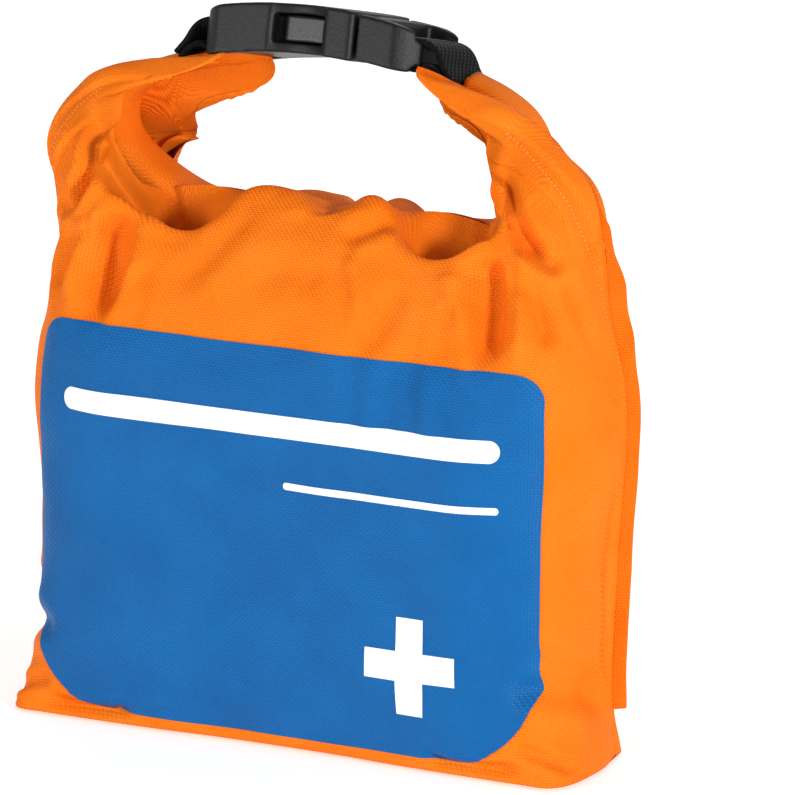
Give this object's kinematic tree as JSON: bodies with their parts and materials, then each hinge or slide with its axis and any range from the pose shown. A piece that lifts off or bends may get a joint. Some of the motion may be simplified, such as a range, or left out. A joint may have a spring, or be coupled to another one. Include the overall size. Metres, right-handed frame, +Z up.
{
  "type": "first aid kit",
  "caption": "Waterproof roll-top fabric bag with a printed front panel and first aid contents, carried by its two roll ends joined with a side-release buckle.",
  "frame": {"origin": "on the floor, under the middle of the bag", "axes": "+X to the right of the printed front, +Y to the back, +Z up"},
  "size_m": [0.1512, 0.0624, 0.1634],
  "materials": {
    "coated_fabric": "satin coated nylon, bright orange",
    "blue_print": "satin blue print on coated nylon",
    "white_print": "matt white print",
    "moulded_black": "spark-textured moulded acetal",
    "webbing_black": "woven polyester",
    "strip_white": "polyethylene strip",
    "gauze": "woven cotton gauze",
    "elastic_cloth": "elastic woven cotton",
    "paper_white": "sterile paper pouch",
    "silver_foil": "metallised film",
    "green_wrap": "non-woven cloth",
    "skin_tape": "adhesive tape",
    "glove_blue": "nitrile",
    "steel": "brushed stainless",
    "grip_red": "moulded",
    "card": "coated card"
  },
  "bodies": {
    "bag": {"front_panel": "coated_fabric", "back_panel": "coated_fabric", "bottom_gusset": "coated_fabric", "colour_panel": "blue_print", "panel_print": "white_print", "closure_roll": "coated_fabric", "mouth_stiffener_front": "strip_white", "mouth_stiffener_back": "strip_white", "triangular_bandage": "green_wrap", "rescue_blanket": "silver_foil", "leaflet": "card", "elastic_bandage": "elastic_cloth", "gauze_bandage_left": "gauze", "gauze_bandage_right": "gauze", "tape_roll": "skin_tape", "tape_core": "strip_white", "gloves_pack": "glove_blue", "compress_pack_low": "paper_white", "compress_pack_high": "paper_white", "plaster_strips": "skin_tape", "antiseptic_wipes": "paper_white", "dressing_pack_low": "paper_white", "dressing_pack_high": "paper_white", "scissor_blade_fixed": "steel", "scissor_grip_fixed": "grip_red", "scissor_rivet": "steel", "tweezer_arm_fixed": "steel"},
    "handle": {"roll_end_right": "coated_fabric", "roll_end_left": "coated_fabric", "roll_end_stiffener_right": "strip_white", "roll_end_stiffener_left": "strip_white", "webbing_right": "webbing_black", "webbing_left": "webbing_black", "buckle_socket": "moulded_black", "buckle_plug": "moulded_black"},
    "lock_front": {"buckle_arm_front": "moulded_black"},
    "lock_rear": {"buckle_arm_rear": "moulded_black"},
    "scissor_half": {"scissor_blade_moving": "steel", "scissor_grip_moving": "grip_red"},
    "tweezer_half": {"tweezer_arm_moving": "steel"}
  },
  "joints": [
    {"name": "handle_tilt", "type": "hinge", "parent": "bag", "child": "handle", "pos_m": [-0.0065, 0, 0.114], "axis": [1, 0, 0], "range_deg": [-25, 38]},
    {"name": "lock_front_squeeze", "type": "hinge", "parent": "handle", "child": "lock_front", "pos_m": [0.0076, 0.00087, 0.1569], "axis": [0, -0.225, -0.9744], "range_deg": [0, 8.2], "stiffness_Nm_per_rad": 1},
    {"name": "lock_rear_squeeze", "type": "hinge", "parent": "handle", "child": "lock_rear", "pos_m": [0.0076, 0.01802, 0.15294], "axis": [0, 0.225, 0.9744], "range_deg": [0, 8.2], "stiffness_Nm_per_rad": 1},
    {"name": "scissors_open", "type": "hinge", "parent": "bag", "child": "scissor_half", "pos_m": [0.027, -0.0174, 0.05044], "axis": [0, -1, 0], "range_deg": [0, 8]},
    {"name": "tweezers_squeeze", "type": "hinge", "parent": "bag", "child": "tweezer_half", "pos_m": [-0.00758, -0.01653, 0.05936], "axis": [0, 1, 0], "range_deg": [0, 2.4], "stiffness_Nm_per_rad": 1}
  ]
}
